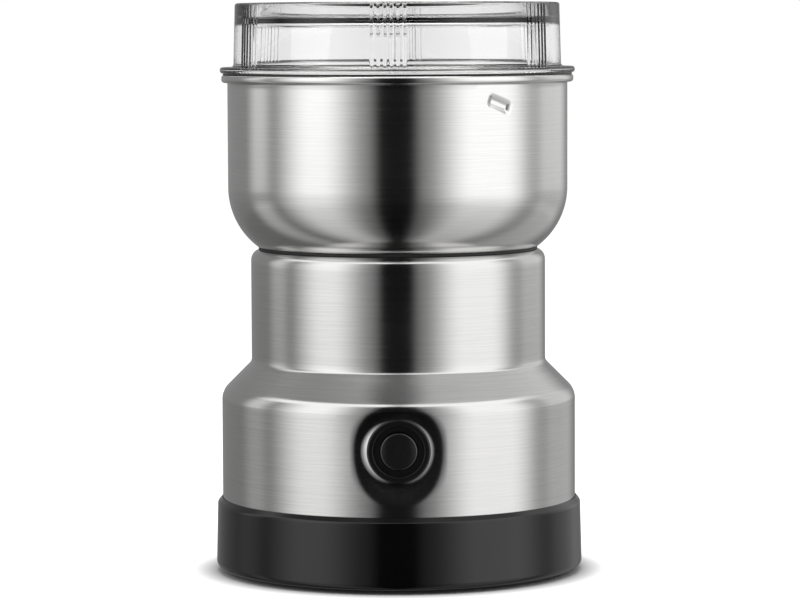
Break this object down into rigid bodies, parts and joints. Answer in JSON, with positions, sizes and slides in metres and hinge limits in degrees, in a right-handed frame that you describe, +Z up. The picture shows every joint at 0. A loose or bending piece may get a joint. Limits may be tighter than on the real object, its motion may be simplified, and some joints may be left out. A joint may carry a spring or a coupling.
{
  "type": "electric spice grinder",
  "caption": "Small upright electric grinder: black base, stepped steel body with a round push button, rounded steel bowl with crossed blades and a clear twist-on lid.",
  "frame": {"origin": "centre of the base's circle, on the table that the feet stand on", "axes": "+Z up along the motor shaft, -Y towards the push button, +Y towards the cord gland, +X to the right as seen from the button's side"},
  "size_m": [0.1042, 0.1042, 0.161],
  "materials": {
    "base_black": "satin moulded ABS",
    "foot_rubber": "matt",
    "body_steel": "brushed round the axis",
    "bowl_steel": "polished and brushed round the axis",
    "gasket_rubber": "matt",
    "seal_silicone": "satin",
    "lid_clear": "clear, polished",
    "button_black": "gloss",
    "bezel_black": "satin gloss",
    "switch_plastic": "moulded",
    "nylon_grey": "glass-filled nylon",
    "laminated_steel": "varnished laminations",
    "copper": "enamelled copper wire",
    "bronze": "sintered",
    "die_cast": "as cast",
    "bright_steel": "ground",
    "screw_zinc": "zinc plated",
    "blade_steel": "polished",
    "brass_contact": "bright",
    "carbon": "pressed carbon",
    "fan_plastic": "moulded"
  },
  "bodies": {
    "housing": {"base": "base_black", "foot_1": "foot_rubber", "foot_2": "foot_rubber", "foot_3": "foot_rubber", "foot_4": "foot_rubber", "base_screws": "screw_zinc", "cord_gland": "bezel_black", "body_shell": "body_steel", "bowl": "bowl_steel", "bowl_gasket": "gasket_rubber", "motor_carrier": "nylon_grey", "bowl_bush": "bright_steel", "bowl_locknut": "screw_zinc", "shaft_seal": "gasket_rubber", "stator_core": "laminated_steel", "field_coil_left": "copper", "field_coil_right": "copper", "upper_bracket": "die_cast", "lower_bracket": "die_cast", "upper_bearing": "bronze", "lower_bearing": "bronze", "motor_screws": "screw_zinc", "motor_mounts": "foot_rubber", "brush_holder_left": "brass_contact", "brush_holder_right": "brass_contact", "carbon_brush_left": "carbon", "carbon_brush_right": "carbon", "brush_spring_left": "bright_steel", "brush_spring_right": "bright_steel", "brush_cap_left": "switch_plastic", "brush_cap_right": "switch_plastic", "switch_bezel": "bezel_black", "switch_nut": "switch_plastic", "switch_housing": "switch_plastic", "switch_terminals": "brass_contact", "switch_spring": "bright_steel"},
    "seal": {"lid_seal": "seal_silicone"},
    "lid": {"lid": "lid_clear"},
    "push_button": {"button": "button_black", "contact_bridge": "brass_contact"},
    "rotor": {"motor_shaft": "bright_steel", "armature_core": "laminated_steel", "armature_winding": "copper", "commutator": "brass_contact", "cooling_fan": "fan_plastic", "blade_spacer": "bronze", "lower_blade": "blade_steel", "upper_blade": "blade_steel", "blade_nut": "bright_steel"}
  },
  "joints": [
    {"name": "lid_lift", "type": "slide", "parent": "housing", "child": "seal", "axis": [0, 0, 1], "range_m": [0, 0.1]},
    {"name": "lid_twist", "type": "hinge", "parent": "seal", "child": "lid", "pos_m": [0, 0, 0.1413], "axis": [0, 0, 1], "range_deg": [-20, 0]},
    {"name": "button_press", "type": "slide", "parent": "housing", "child": "push_button", "axis": [0, 1, 0], "range_m": [0, 0.0025], "stiffness_N_per_m": 600, "springref_m": -0.001, "deforming": ["switch_spring"]},
    {"name": "blade_spin", "type": "hinge", "parent": "housing", "child": "rotor", "pos_m": [0, 0, 0.055], "axis": [0, 0, 1], "continuous": true}
  ]
}
